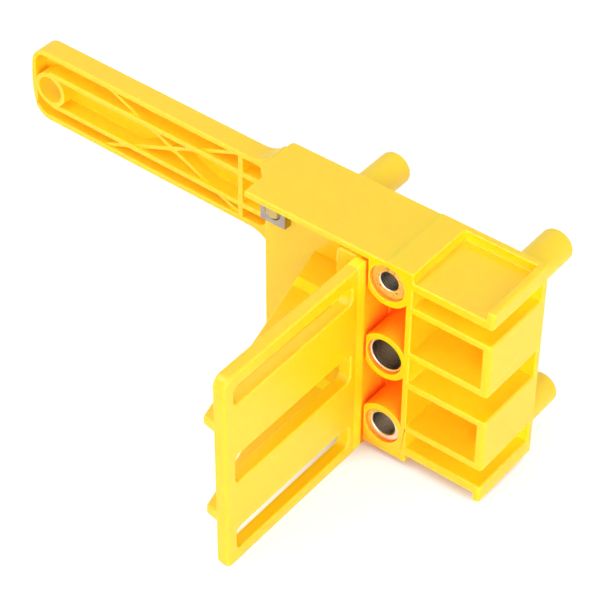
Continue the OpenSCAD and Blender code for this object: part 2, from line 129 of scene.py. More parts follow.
def smooth(piece, angle=40):
    only(piece)
    bpy.ops.object.shade_smooth_by_angle(angle=math.radians(angle))
    even = piece.modifiers.new("Even normals", "WEIGHTED_NORMAL")
    even.keep_sharp = True
    finish_modifiers(piece)

def settle(piece):
    only(piece)
    bpy.ops.object.transform_apply(location=True, rotation=True, scale=True)

def size_line(piece):
    corners = [Vector(c) for c in piece.bound_box]
    low = [round(min(c[i] for c in corners) / mm, 2) for i in range(3)]
    high = [round(max(c[i] for c in corners) / mm, 2) for i in range(3)]
    print(piece.name, len(piece.data.polygons), "faces", low, high)

# %% [markdown]
# ## The moulding
# On the real jig the bush housing, the comb and the bracket are one moulding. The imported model
# has them as three solids that meet face to face. A Boolean union joins copies of them with no
# wall left inside, flat faces are dissolved to single faces, and a bevel rounds the edges as a
# mould does. Where a flat face has holes in it, a cut through all of them leaves plain outlines,
# which stay whole when their edges are rounded.

# %% Copies of solids
def tidy(piece):
    edit(piece, "VERT")
    bpy.ops.mesh.select_all(action="SELECT")
    bpy.ops.mesh.remove_doubles(threshold=0.002 * mm)
    bpy.ops.mesh.dissolve_limited(angle_limit=math.radians(0.4))
    done(piece)

def open_holes(piece, cuts):
    planes = [(Vector(point) * mm, Vector(normal).normalized()) for point, normal in cuts]
    for point, normal in planes:
        edit(piece, "VERT")
        bpy.ops.mesh.select_all(action="SELECT")
        bpy.ops.mesh.bisect(plane_co=point, plane_no=normal)
        done(piece)
    mesh = edit(piece, "EDGE")
    flat = pick(mesh, mesh.edges, lambda edge: len(edge.link_faces) == 2
                and edge.calc_face_angle(0) < 0.005
                and not any(max(abs((v.co - point).dot(normal)) for v in edge.verts) < 0.002 * mm
                            for point, normal in planes))
    if flat:
        bpy.ops.mesh.dissolve_edges(use_verts=False, use_face_split=False)
    done(piece)
    print(piece.name, "flat edges dissolved", len(flat))

def copy_of(node_name, name):
    piece = nodes[node_name].copy()
    piece.data = piece.data.copy()
    piece.name = piece.data.name = name
    piece.parent = None
    for key in list(piece.keys()):
        del piece[key]
    scene.collection.objects.link(piece)
    tidy(piece)
    return piece

def combine(piece, other, operation="UNION"):
    step = piece.modifiers.new("Combine", "BOOLEAN")
    step.operation = operation
    step.solver = "EXACT"
    step.object = other
    finish_modifiers(piece)
    bpy.data.objects.remove(other)

moulding = copy_of("comb", "moulding")
combine(moulding, copy_of("bush_housing", "housing_copy"))
combine(moulding, copy_of("bracket", "bracket_copy"))
tidy(moulding)
size_line(moulding)

# %% [markdown]
# Every edge of a moulding is a little round, and the outer corners that a hand meets are rounder.
# One bevel does all of them, because each edge carries its own radius as a weight: a function
# looks at where an edge lies and which way it runs and answers with a radius.

# %% Rounding of edges
def round_edges(piece, radius_at, segments=3, largest=2 * mm, sharpest=28):
    mesh = edit(piece, "EDGE")
    weights = mesh.edges.layers.float.get("bevel_weight_edge") or \
        mesh.edges.layers.float.new("bevel_weight_edge")
    count = 0
    for edge in mesh.edges:
        if len(edge.link_faces) != 2 or edge.calc_face_angle(0) < math.radians(sharpest):
            continue
        ends = [v.co / mm for v in edge.verts]
        middle = (ends[0] + ends[1]) / 2
        run = [abs(ends[0][i] - ends[1][i]) for i in range(3)]
        way = "xyz"[run.index(max(run))]
        edge[weights] = radius_at(middle, way, edge.calc_face_angle_signed(0) < 0) * mm / largest
        count += 1
    done(piece)
    bevel = piece.modifiers.new("Round edges", "BEVEL")
    bevel.limit_method = "WEIGHT"
    bevel.width = largest
    bevel.segments = segments
    bevel.use_clamp_overlap = False
    bevel.miter_outer = "MITER_SHARP"
    finish_modifiers(piece)
    smooth(piece)
    print(piece.name, "edges rounded", count)

right, front, base_top_z = 35.0, -26.6, -31.3
bush_rows = (-27.5, 0, 27.5)
boss_half_width, boss_reach = 6.7, 8.3
top_step_x = -0.6

def near(value, wanted, reach=0.08):
    return abs(value - wanted) < reach

def moulding_radius(middle, way, hollow):
    from_row = min(abs(middle.z - z) for z in bush_rows)
    if abs(middle.x) < boss_half_width and from_row < boss_reach and middle.y < -1.8:
        return 0.18
    if near(middle.x, top_step_x) and middle.z > 34.5:
        return 0.14
    if near(middle.x, right) and near(middle.y, front):
        return 1.3
    if near(middle.x, right) and way == "y":
        return 0.9
    if near(middle.y, front) and near(middle.z, base_top_z) and middle.x > 6:
        return 0.8
    if near(middle.y, front) and middle.z > 34 and way == "x":
        return 0.6
    return 0.45

round_edges(moulding, moulding_radius)
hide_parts("comb", "bush_housing", "bracket")
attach(moulding, "jig")
size_line(moulding)

# %% [markdown]
# ## Fence and handle
# Both are mouldings of their own, and their solids have the right shape, so copies of them get
# rounded edges in the same way. The fence's slots have softer lips than its root, so that a dowel
# slips in. The ribs of the handle are thin, so their edges are only just broken.

# %% Fence
fence_face, fence_back, root_step_y = -6.75, -10.9, -30.8
slot_rows = ((24, 3.4), (-3.5, 5.4), (-31, 4.4))

def fence_radius(middle, way, hollow):
    if middle.x > -7.3 and middle.y > -31.2:
        return 0.2 if near(middle.y, root_step_y) and near(middle.x, fence_face) else 0.12
    in_slot = any(abs(middle.z - z) < reach for z, reach in slot_rows)
    if in_slot and middle.x < fence_back and -86 < middle.y < -31.5:
        return 0.3
    if middle.y > -16.5:
        return 0.2
    if hollow and middle.y < -87.3:
        return 0.04
    return 0.7

fence = copy_of("fence", "fence_moulding")
open_holes(fence, [((-9, -58, 0), (0, 1, 0))])
round_edges(fence, fence_radius)
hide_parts("fence")
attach(fence, "fence")
size_line(fence)

# %% Handle
hanging_hole_x, hanging_hole_z, rib_top_y = -144.25, 16.2, -6.6

def handle_radius(middle, way, hollow):
    if math.hypot(middle.x - hanging_hole_x, middle.z - hanging_hole_z) < 7.5:
        return 0.12
    return 0.16 if near(middle.y, rib_top_y) else 0.3

handle = copy_of("handle", "handle_moulding")
open_holes(handle, [((-46.9, -4, 22.6), (7.4, 0, -97.4))])
round_edges(handle, handle_radius)
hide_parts("handle")
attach(handle, "handle")
size_line(handle)

# %% [markdown]
# ## Drill bushes
# A bush is a hardened tube that keeps the drill square. It is cut on a lathe, so it is modelled
# as on one: a cylinder's end face is inset ring by ring, and each ring is moved in or out by the
# depth of that cut. The blank is shorter than the piece by what its ends are moved out. At last
# the two ends are bridged, which opens the bore.

# %% Turned pieces
def blank(name, node_name, sides=96, trim=(0.0, 0.0)):
    low, high = [list(corner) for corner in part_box(node_name)]
    low[1] += trim[0] * mm
    high[1] -= trim[1] * mm
    middle = [(a + b) / 2 for a, b in zip(low, high)]
    bpy.ops.object.select_all(action="DESELECT")
    bpy.ops.mesh.primitive_cylinder_add(vertices=sides, radius=(high[0] - low[0]) / 2,
                                        depth=high[1] - low[1], location=middle,
                                        rotation=(math.pi / 2, 0, 0))
    piece = bpy.context.object
    piece.name = piece.data.name = name
    settle(piece)
    return piece

def cap_of(face, toward_back, sides):
    side = face.normal.y if toward_back else -face.normal.y
    return side > 0.9 and len(face.verts) == sides

def turn_end(piece, toward_back, cuts, sides=96):
    mesh = edit(piece)
    pick(mesh, mesh.faces, lambda face: cap_of(face, toward_back, sides))
    for inset, depth in cuts:
        bpy.ops.mesh.inset(thickness=inset * mm, depth=depth * mm)
    done(piece)

def open_bore(piece, sides=96):
    mesh = edit(piece)
    caps = pick(mesh, mesh.faces, lambda face: abs(face.normal.y) > 0.9
                and len(face.verts) == sides)
    bpy.ops.mesh.bridge_edge_loops()
    done(piece)
    print(piece.name, "caps bridged", len(caps))

def place_piece(piece, node_name, body, angle=30):
    smooth(piece, angle)
    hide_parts(node_name)
    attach(piece, body)
    size_line(piece)

# %% Bushes
bush_radius, chamfer = 6.0, 0.3
rounded_lip = [(0.16, -0.02), (0.15, -0.08), (0.12, -0.14), (0.08, -0.2)]

def make_bush(name, node_name, bore_radius):
    piece = blank(name, node_name, trim=(chamfer, chamfer))
    wall = bush_radius - bore_radius
    rim = [(0.08, 0.0), (0.1, 0.0)]
    flat = wall - sum(cut[0] for cut in rounded_lip) - 0.18 - chamfer
    turn_end(piece, False, [(chamfer, chamfer)] + rim + [(flat, 0.0)] + rounded_lip)
    turn_end(piece, True, [(chamfer, chamfer), (wall - 2 * chamfer, 0.0), (chamfer, -chamfer)])
    open_bore(piece)
    place_piece(piece, node_name, "jig", 25)
    return piece

bush_pieces = [make_bush("turned_bush_6mm", "bush_6mm", 3.0),
               make_bush("turned_bush_10mm", "bush_10mm", 5.0),
               make_bush("turned_bush_8mm", "bush_8mm", 4.0)]

# %% [markdown]
# ## Screws
# The pivot bolt and the two fence screws are socket screws with a low round head. Their thread is
# a real helix: the Screw modifier winds one tooth of the thread round the axis, two bisects cut
# it to length and close its ends, and a union sets the head on it. A plain tip closes the far end
# and a difference cuts the socket.

# %% Thread
def thread(name, radius, pitch, length, start, axis):
    depth = 0.6 * pitch
    tooth = bpy.data.meshes.new(name)
    piece = bpy.data.objects.new(name, tooth)
    scene.collection.objects.link(piece)
    shape = [(radius - depth, 0), (radius - depth, 0.12 * pitch), (radius, 0.46 * pitch),
             (radius, 0.58 * pitch), (radius - depth, 0.92 * pitch), (radius - depth, pitch)]
    tooth.from_pydata([(x * mm, (y - pitch) * mm, 0) for x, y in shape],
                      [(i, i + 1) for i in range(len(shape) - 1)], [])
    wind = piece.modifiers.new("Wind", "SCREW")
    wind.axis = "Y"
    wind.screw_offset = pitch * mm
    wind.iterations = int(length / pitch) + 3
    wind.steps = wind.render_steps = 40
    wind.use_merge_vertices = True
    wind.merge_threshold = 0.001 * mm
    finish_modifiers(piece)
    for cut, outer in ((0.0, False), (length, True)):
        edit(piece, "VERT")
        bpy.ops.mesh.select_all(action="SELECT")
        bpy.ops.mesh.remove_doubles(threshold=0.0005 * mm)
        bpy.ops.mesh.bisect(plane_co=(0, cut * mm, 0), plane_no=(0, 1, 0), use_fill=True,
                            clear_outer=outer, clear_inner=not outer)
        done(piece)
    edit(piece, "FACE")
    bpy.ops.mesh.select_all(action="SELECT")
    bpy.ops.mesh.normals_make_consistent(inside=False)
    done(piece)
    piece.location = (axis[0] * mm, start * mm, axis[1] * mm)
    settle(piece)
    return piece

def drum(name, radius, low_y, high_y, axis, sides=64):
    bpy.ops.object.select_all(action="DESELECT")
    bpy.ops.mesh.primitive_cylinder_add(vertices=sides, radius=radius * mm,
                                        depth=(high_y - low_y) * mm,
                                        location=(axis[0] * mm, (low_y + high_y) / 2 * mm,
                                                  axis[1] * mm),
                                        rotation=(math.pi / 2, 0, 0))
    piece = bpy.context.object
    piece.name = piece.data.name = name
    settle(piece)
    return piece

# %% Screws
head_rounding, socket_depth = [(0.35, 0.45), (0.7, 0.3), (1.0, 0.15)], 1.4

def make_screw(name, node_name, pitch, shank_radius, head_height, socket, body):
    low, high = [[v / mm for v in corner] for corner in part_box(node_name)]
    axis = ((low[0] + high[0]) / 2, (low[2] + high[2]) / 2)
    head_radius = (high[0] - low[0]) / 2
    seat = high[1] - head_height
    piece = drum(name, head_radius, seat, high[1] - 0.9, axis)
    turn_end(piece, True, head_rounding, 64)
    shank = thread(name + "_thread", shank_radius, pitch, seat - low[1] - 0.1, low[1] + 0.4, axis)
    combine(piece, shank)
    tip = drum(name + "_tip", shank_radius - 0.12, low[1] + 0.4, low[1] + 1.5, axis)
    turn_end(tip, False, [(0.35, 0.4)], 64)
    combine(piece, tip)
    hexagon = drum(name + "_socket", socket / 2 / math.cos(math.pi / 6),
                   high[1] - socket_depth, high[1] + 1, axis, 6)
    combine(piece, hexagon, "DIFFERENCE")
    place_piece(piece, node_name, body)
    return piece

bolt = make_screw("pivot_socket_bolt", "pivot_bolt", 0.8, 2.5, 2.6, 3.0, "jig")
fence_screws = [make_screw("fence_socket_screw_" + side, "fence_screw_" + side, 0.7, 2.0, 2.4,
                           3.0, "fence") for side in ("upper", "lower")]

# %% [markdown]
# ## Nut, washers and inserts
# The square nut is stamped from strip, so its edges are a little round and its thread starts in
# a countersunk mouth. Washers are punched, so one edge is round and the other sharp. The inserts
# in the fence are brass with a knurl that bites into the plastic.

# %% Square nut
def make_nut():
    low, high = [[v / mm for v in corner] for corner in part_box("square_nut")]
    axis = ((low[0] + high[0]) / 2, (low[2] + high[2]) / 2)
    bpy.ops.object.select_all(action="DESELECT")
    middle = [(a + b) / 2 * mm for a, b in zip(low, high)]
    bpy.ops.mesh.primitive_cube_add(size=1, location=middle)
    piece = bpy.context.object
    piece.name = piece.data.name = "stamped_square_nut"
    piece.scale = [(b - a) * mm for a, b in zip(low, high)]
    settle(piece)
    round_edges(piece, lambda middle, way, hollow: 0.25, 3, 1 * mm)
    hole = drum("nut_hole", 2.55, low[1] - 1, high[1] + 1, axis)
    combine(piece, hole, "DIFFERENCE")
    mouth = drum("nut_mouth", 2.95, low[1] - 1, low[1], axis)
    turn_end(mouth, True, [(0.5, 0.45)], 64)
    combine(piece, mouth, "DIFFERENCE")
    place_piece(piece, "square_nut", "jig")
    return piece

nut = make_nut()

# %% Washers
def make_washer(name, node_name, hole_radius, body):
    piece = blank(name, node_name, 64, (0.06, 0.18))
    radius = piece.dimensions.x / 2 / mm
    for toward_back, rounding in ((True, 0.18), (False, 0.06)):
        turn_end(piece, toward_back, [(rounding * 0.4, rounding * 0.65),
                                      (rounding * 0.6, rounding * 0.35),
                                      (radius - hole_radius - rounding * 2, 0.0),
                                      (rounding, -rounding * 0.5)], 64)
    open_bore(piece, 64)
    place_piece(piece, node_name, body)
    return piece

washers = [make_washer("pivot_flat_washer", "pivot_washer", 2.75, "jig"),
           make_washer("fence_flat_washer_upper", "fence_washer_upper", 2.25, "fence"),
           make_washer("fence_flat_washer_lower", "fence_washer_lower", 2.25, "fence")]

# %% Inserts
def make_insert(name, node_name):
    teeth = 36
    piece = blank(name, node_name, 2 * teeth)
    middle = sum((Vector(c) for c in piece.bound_box), Vector()) / 8
    for toward_back in (True, False):
        turn_end(piece, toward_back, [(0.25, 0.0), (0.5, 0.0), (0.25, -0.25)], 2 * teeth)
    open_bore(piece, 2 * teeth)
    mesh = edit(piece, "VERT")
    for vert in mesh.verts:
        away = vert.co - middle
        turn_of = math.atan2(away.z, away.x) / (2 * math.pi) * 2 * teeth
        if math.hypot(away.x, away.z) > 2.9 * mm and round(turn_of) % 2:
            vert.co.x = middle.x + away.x * 0.94
            vert.co.z = middle.z + away.z * 0.94
    done(piece)
    place_piece(piece, node_name, "fence", 20)
    return piece

inserts = [make_insert("knurled_insert_" + side, "insert_" + side) for side in ("upper", "lower")]

# %% [markdown]
# ## Shared effects for the materials
# Node groups hold what several finishes share: a soft cloudiness, a mask of edges, a mask of
# hollows, the rings that a lathe leaves, and fine scratches. Each material places them with
# values of its own.

# %% Group helpers
def node(tree, kind, settings=None, **values):
    made = tree.nodes.new(kind)
    for key, value in (settings or {}).items():
        setattr(made, key, value)
    for key, value in values.items():
        made.inputs[key.replace("_", " ")].default_value = value
    return made

def new_group(name, inputs, outputs):
    group = bpy.data.node_groups.new(name, "ShaderNodeTree")
    for label, kind, value in inputs:
        socket = group.interface.new_socket(label, in_out="INPUT", socket_type=kind)
        if value is not None:
            socket.default_value = value
    for label, kind in outputs:
        group.interface.new_socket(label, in_out="OUTPUT", socket_type=kind)
    return group, group.nodes.new("NodeGroupInput"), group.nodes.new("NodeGroupOutput")

def maths(tree, operation, first, second=None):
    made = node(tree, "ShaderNodeMath", {"operation": operation})
    for place, value in enumerate((first, second)):
        if value is None:
            continue
        if isinstance(value, (int, float)):
            made.inputs[place].default_value = value
        else:
            tree.links.new(value, made.inputs[place])
    return made.outputs[0]

def ramp(tree, value, low, high, to_low=0.0, to_high=1.0):
    made = node(tree, "ShaderNodeMapRange", {"interpolation_type": "SMOOTHSTEP"})
    tree.links.new(value, made.inputs["Value"])
    for label, number in (("From Min", low), ("From Max", high),
                          ("To Min", to_low), ("To Max", to_high)):
        made.inputs[label].default_value = number
    return made.outputs["Result"]

def mix_colour(tree, share, first, second):
    made = node(tree, "ShaderNodeMix", {"data_type": "RGBA"})
    for label, value in ((0, share), (6, first), (7, second)):
        if isinstance(value, (int, float, tuple)):
            made.inputs[label].default_value = value
        else:
            tree.links.new(value, made.inputs[label])
    return made.outputs[2]

# %% Cloudiness
FLOAT, COLOUR, VECTOR = "NodeSocketFloat", "NodeSocketColor", "NodeSocketVector"
cloud, cloud_in, cloud_out = new_group("soft_clouds", [("Scale", FLOAT, 100.0)],
                                       [("Mask", FLOAT), ("Fine", FLOAT)])
place = cloud.nodes.new("ShaderNodeTexCoord")
broad = node(cloud, "ShaderNodeTexNoise", Detail=3.0, Roughness=0.5)
fine = node(cloud, "ShaderNodeTexNoise", Detail=2.0, Roughness=0.6)
cloud.links.new(place.outputs["Object"], broad.inputs["Vector"])
cloud.links.new(place.outputs["Object"], fine.inputs["Vector"])
cloud.links.new(cloud_in.outputs["Scale"], broad.inputs["Scale"])
cloud.links.new(maths(cloud, "MULTIPLY", cloud_in.outputs["Scale"], 14.0), fine.inputs["Scale"])
cloud.links.new(ramp(cloud, broad.outputs[0], 0.3, 0.7), cloud_out.inputs["Mask"])
cloud.links.new(fine.outputs[0], cloud_out.inputs["Fine"])

# %% Edges
edges, edges_in, edges_out = new_group("edge_mask", [("Radius", FLOAT, 0.001)],
                                       [("Mask", FLOAT)])
soft = node(edges, "ShaderNodeBevel", {"samples": 4})
plain = edges.nodes.new("ShaderNodeNewGeometry")
dot = node(edges, "ShaderNodeVectorMath", {"operation": "DOT_PRODUCT"})
edges.links.new(edges_in.outputs["Radius"], soft.inputs["Radius"])
edges.links.new(soft.outputs[0], dot.inputs[0])
edges.links.new(plain.outputs["Normal"], dot.inputs[1])
edges.links.new(ramp(edges, dot.outputs["Value"], 0.995, 0.9), edges_out.inputs["Mask"])

# %% Hollows
hollow, hollow_in, hollow_out = new_group("hollow_mask", [("Near", FLOAT, 0.014),
                                                          ("Far", FLOAT, 0.025)],
                                          [("Deep", FLOAT), ("Broad", FLOAT)])
for reach, label, start, end in (("Near", "Deep", 0.64, 0.36), ("Far", "Broad", 0.62, 0.3)):
    shade = node(hollow, "ShaderNodeAmbientOcclusion", {"samples": 10})
    hollow.links.new(hollow_in.outputs[reach], shade.inputs["Distance"])
    hollow.links.new(ramp(hollow, shade.outputs["AO"], start, end), hollow_out.inputs[label])

# %% Lathe rings
rings, rings_in, rings_out = new_group("lathe_rings", [("Centre", VECTOR, None),
                                                       ("Rings", FLOAT, 3000.0)],
                                       [("Height", FLOAT), ("Mask", FLOAT),
                                        ("Radius", FLOAT)])
place = rings.nodes.new("ShaderNodeTexCoord")
shift = node(rings, "ShaderNodeVectorMath", {"operation": "SUBTRACT"})
split = rings.nodes.new("ShaderNodeSeparateXYZ")
rings.links.new(place.outputs["Object"], shift.inputs[0])
rings.links.new(rings_in.outputs["Centre"], shift.inputs[1])
rings.links.new(shift.outputs[0], split.inputs[0])
across = maths(rings, "POWER", split.outputs["X"], 2.0)
upward = maths(rings, "POWER", split.outputs["Z"], 2.0)
radius = maths(rings, "SQRT", maths(rings, "ADD", across, upward))
along = maths(rings, "ADD", radius, split.outputs["Y"])
groove = node(rings, "ShaderNodeTexNoise", {"noise_dimensions": "1D"}, Detail=2.0)
rings.links.new(along, groove.inputs["W"])
rings.links.new(rings_in.outputs["Rings"], groove.inputs["Scale"])
rings.links.new(radius, rings_out.inputs["Radius"])
rings.links.new(groove.outputs[0], rings_out.inputs["Height"])
rings.links.new(ramp(rings, groove.outputs[0], 0.35, 0.65), rings_out.inputs["Mask"])

# %% Scratches
marks, marks_in, marks_out = new_group("fine_scratches", [("Scale", FLOAT, 60.0)],
                                       [("Mask", FLOAT)])
place = marks.nodes.new("ShaderNodeTexCoord")
lines = []
for turn_by in ((0.3, 0.2, 0.5), (-0.4, 0.7, -0.9)):
    stretch = node(marks, "ShaderNodeMapping")
    stretch.inputs["Rotation"].default_value = turn_by
    stretch.inputs["Scale"].default_value = (1.0, 0.06, 1.0)
    noise = node(marks, "ShaderNodeTexNoise", Detail=6.0, Roughness=0.75)
    marks.links.new(place.outputs["Object"], stretch.inputs["Vector"])
    marks.links.new(stretch.outputs[0], noise.inputs["Vector"])
    marks.links.new(marks_in.outputs["Scale"], noise.inputs["Scale"])
    lines.append(ramp(marks, noise.outputs[0], 0.62, 0.7))
marks.links.new(maths(marks, "MAXIMUM", lines[0], lines[1]), marks_out.inputs["Mask"])
print("groups", [g.name for g in bpy.data.node_groups])

# %% Material helpers
def new_material(name):
    material = bpy.data.materials.new(name)
    material.use_nodes = True
    tree = material.node_tree
    tree.nodes.clear()
    output = tree.nodes.new("ShaderNodeOutputMaterial")
    shader = tree.nodes.new("ShaderNodeBsdfPrincipled")
    tree.links.new(shader.outputs["BSDF"], output.inputs["Surface"])
    return material, tree, shader

def use(tree, group, **values):
    made = tree.nodes.new("ShaderNodeGroup")
    made.node_tree = group
    for key, value in values.items():
        made.inputs[key].default_value = value
    return made.outputs

def bump(tree, shader, height, strength, distance):
    made = node(tree, "ShaderNodeBump", Strength=strength, Distance=distance)
    tree.links.new(height, made.inputs["Height"])
    tree.links.new(made.outputs[0], shader.inputs["Normal"])

# %% [markdown]
# ## Yellow plastic
# The mouldings are glossy yellow plastic that lets a little light in: its edges glow lemon
# yellow and its inner corners turn orange. Subsurface scattering with a long red path does most
# of that, and painted light adds to it. The edge mask paints a lemon highlight on the rounded
# edges.
# The broad hollow mask paints a lighter yellow into hollows, painted bounce light, and a weak red
# glow, which stands in for light that comes through thin walls. Between the bosses the near
# hollow mask paints a dark orange shade, and on the fence a strip in front of the root step is
# painted paler, a painted highlight.

# %% Plastic
def between(tree, value, low, high, blur):
    rising = ramp(tree, value, low - blur, low + blur)
    falling = ramp(tree, value, high + blur, high - blur)
    return maths(tree, "MULTIPLY", rising, falling)

# After the two plain yellows come painted light: a lighter yellow for hollows (painted bounce
# light), a lemon yellow for edges (painted highlight), a dark orange (painted shade), a paler
# yellow (painted highlight) and a weak red glow.
YELLOW, DEEPER_YELLOW = (1.0, 0.655, 0.0005, 1), (1.0, 0.635, 0.0004, 1)
PAINTED_BOUNCE_YELLOW, PAINTED_EDGE_HIGHLIGHT = (1.0, 0.75, 0.0006, 1), (1.0, 0.78, 0.012, 1)
PAINTED_SHADE_ORANGE, PAINTED_STRIP_HIGHLIGHT = (1.0, 0.3, 0.0002, 1), (1.0, 0.84, 0.01, 1)
NO_GLOW, RED_GLOW = (0.0, 0.0, 0.0, 1), (0.16, 0.015, 0.0, 1)

def plastic_material(name, painted_bounce_share, painted_shade_box=None, painted_highlight_y=None):
    material, tree, shader = new_material(name)
    clouds = use(tree, cloud, Scale=70.0)
    edge = use(tree, edges, Radius=0.8 * mm)
    hollows = use(tree, hollow, Near=14 * mm, Far=25 * mm)
    scratch = use(tree, marks, Scale=90.0)
    place = tree.nodes.new("ShaderNodeTexCoord")
    split = tree.nodes.new("ShaderNodeSeparateXYZ")
    tree.links.new(place.outputs["Object"], split.inputs[0])
    colour = mix_colour(tree, maths(tree, "MULTIPLY", clouds["Mask"], 0.5), YELLOW,
                        DEEPER_YELLOW)
    # Painted bounce light: the broad hollow mask lightens the yellow in hollows and adds a weak
    # red glow there.
    broad = maths(tree, "MULTIPLY", hollows["Broad"], painted_bounce_share)
    colour = mix_colour(tree, broad, colour, PAINTED_BOUNCE_YELLOW)
    # Painted highlight: the edge mask lightens the rounded edges to lemon yellow.
    colour = mix_colour(tree, maths(tree, "MULTIPLY", edge["Mask"], 0.5), colour, PAINTED_EDGE_HIGHLIGHT)
    glow = mix_colour(tree, broad, NO_GLOW, RED_GLOW)
    tree.links.new(glow, shader.inputs["Emission Color"])
    shader.inputs["Emission Strength"].default_value = 1.0
    # Painted shade: in the recess between the bosses the near hollow mask turns the colour dark
    # orange.
    if painted_shade_box:
        painted_shade = hollows["Deep"]
        for label, (low, high) in zip("XY", painted_shade_box):
            painted_shade = maths(tree, "MULTIPLY", painted_shade,
                         between(tree, split.outputs[label], low * mm, high * mm, 0.4 * mm))
        colour = mix_colour(tree, painted_shade, colour, PAINTED_SHADE_ORANGE)
    # Painted highlight: a strip of the fence in front of its root step is made paler.
    if painted_highlight_y:
        pale = between(tree, split.outputs["Y"], painted_highlight_y[0] * mm, painted_highlight_y[1] * mm, 0.25 * mm)
        colour = mix_colour(tree, pale, colour, PAINTED_STRIP_HIGHLIGHT)
    tree.links.new(colour, shader.inputs["Base Color"])
    uneven = maths(tree, "ADD", maths(tree, "MULTIPLY", clouds["Fine"], 0.12), 0.34)
    uneven = maths(tree, "ADD", uneven, maths(tree, "MULTIPLY", hollows["Broad"], 0.3))
    rough = maths(tree, "ADD", uneven, maths(tree, "MULTIPLY", scratch["Mask"], 0.06))
    tree.links.new(rough, shader.inputs["Roughness"])
    bump(tree, shader, clouds["Fine"], 0.05, 0.05 * mm)
    shader.inputs["Specular IOR Level"].default_value = 0.62
    shader.inputs["Subsurface Weight"].default_value = 1.0
    shader.inputs["Subsurface Radius"].default_value = (1.0, 0.35, 0.08)
    shader.inputs["Subsurface Scale"].default_value = 2.0 * mm
    return material

# Each copy of the plastic gets its own share of painted bounce light (1.0, 0.2, 0.25). The block
# and fence copies get the painted shade in the recess box, and the fence also the painted strip
# highlight.
recess = ((-9.0, 7.0), (-27.0, 5.0))
plastic = plastic_material("yellow_plastic_block", 1.0, painted_shade_box=recess)
fence_plastic = plastic_material("yellow_plastic_fence", 0.2, painted_shade_box=recess,
                                 painted_highlight_y=(-30.8, -26.8))
handle_plastic = plastic_material("yellow_plastic_handle", 0.25)
for piece, paint in ((moulding, plastic), (fence, fence_plastic), (handle, handle_plastic)):
    piece.data.materials.clear()
    piece.data.materials.append(paint)
for name in ("pin_top_left", "pin_top_right", "pin_bottom_left", "pin_bottom_right"):
    nodes[name].material_slots[0].material = plastic

# %% [markdown]
# ## Metals
# The bushes are bright turned steel, so their gloss breaks up into rings about each bore, and
# the smallest one has a few dark pits round its mouth. Nut, washers and screws are zinc plated,
# which looks slightly blotched, and the bolt and inserts have the yellow of brass. The steel's
# colour is warmed towards orange, a painted reflection of the yellow plastic round the bushes,
# and the inside of each bore is painted its own darker tone, painted shade that is darkest in the
# 10 mm bush. The nut's zinc is painted darker and browner than the washers' zinc: painted shade
# and a painted reflection of the plastic. On every metal the edges are lightened a little.

# %% Metals
PIT_COLOUR = (0.22, 0.14, 0.1, 1)
# Painted reflection: the steel's colours are warmed towards orange, as the yellow plastic round
# the bushes is mirrored in them.
STEEL_AND_PAINTED_REFLECTION, DARK_STEEL_AND_PAINTED_REFLECTION = (0.9, 0.75, 0.6, 1), (0.76, 0.58, 0.44, 1)
YELLOW_ZINC, DARK_YELLOW_ZINC = (0.62, 0.48, 0.2, 1), (0.48, 0.36, 0.14, 1)
# Painted shade and painted reflection: the nut's zinc is darker and browner than the washers'
# ZINC.
NUT_ZINC_SHADE_AND_REFLECTION, DARK_NUT_ZINC_SHADE_AND_REFLECTION = (0.47, 0.41, 0.36, 1), (0.34, 0.25, 0.19, 1)
ZINC = (0.66, 0.67, 0.69, 1)
WASHER_BLOTCH, SCREW_BLOTCH = (0.52, 0.53, 0.56, 1), (0.5, 0.51, 0.54, 1)
BRASS, DARK_BRASS = (0.78, 0.6, 0.3, 1), (0.6, 0.44, 0.2, 1)

def metal(name, colour, dark, rough, centre, ring_count, ring_depth, bore=None, bore_shade=None,
          pitted=False):
    material, tree, shader = new_material(name)
    ring = use(tree, rings, Centre=centre, Rings=ring_count)
    clouds = use(tree, cloud, Scale=260.0)
    scratch = use(tree, marks, Scale=300.0)
    edge = use(tree, edges, Radius=0.25 * mm)
    blotch = maths(tree, "MULTIPLY", clouds["Mask"], 0.5)
    base = mix_colour(tree, blotch, colour, dark)
    # The edge mask lightens the edges.
    metal_colour = mix_colour(tree, maths(tree, "MULTIPLY", edge["Mask"], 0.6), base,
                      tuple(min(1.0, c * 1.25) for c in colour[:3]) + (1,))
    # Painted shade: the inside of the bore gets the given darker tone.
    if bore:
        inside = ramp(tree, ring["Radius"], (bore + 0.12) * mm, (bore + 0.02) * mm)
        metal_colour = mix_colour(tree, inside, metal_colour, bore_shade)
    if pitted:
        spots = node(tree, "ShaderNodeTexNoise", Scale=900.0, Detail=2.0)
        place = tree.nodes.new("ShaderNodeTexCoord")
        tree.links.new(place.outputs["Object"], spots.inputs["Vector"])
        rim = maths(tree, "MULTIPLY", ramp(tree, ring["Radius"], (bore + 0.2) * mm,
                                           (bore + 0.4) * mm),
                    ramp(tree, ring["Radius"], (bore + 1.9) * mm, (bore + 1.2) * mm))
        pits = maths(tree, "MULTIPLY", rim, ramp(tree, spots.outputs[0], 0.6, 0.66))
        metal_colour = mix_colour(tree, pits, metal_colour, PIT_COLOUR)
    tree.links.new(metal_colour, shader.inputs["Base Color"])
    uneven = maths(tree, "ADD", maths(tree, "MULTIPLY", ring["Mask"], 0.1), rough)
    tree.links.new(maths(tree, "ADD", uneven, maths(tree, "MULTIPLY", scratch["Mask"], 0.12)),
                   shader.inputs["Roughness"])
    shader.inputs["Metallic"].default_value = 1.0
    bump(tree, shader, ring["Height"], 0.35, ring_depth * mm)
    return material

def centre_of(node_name):
    low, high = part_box(node_name)
    return tuple((a + b) / 2 for a, b in zip(low, high))

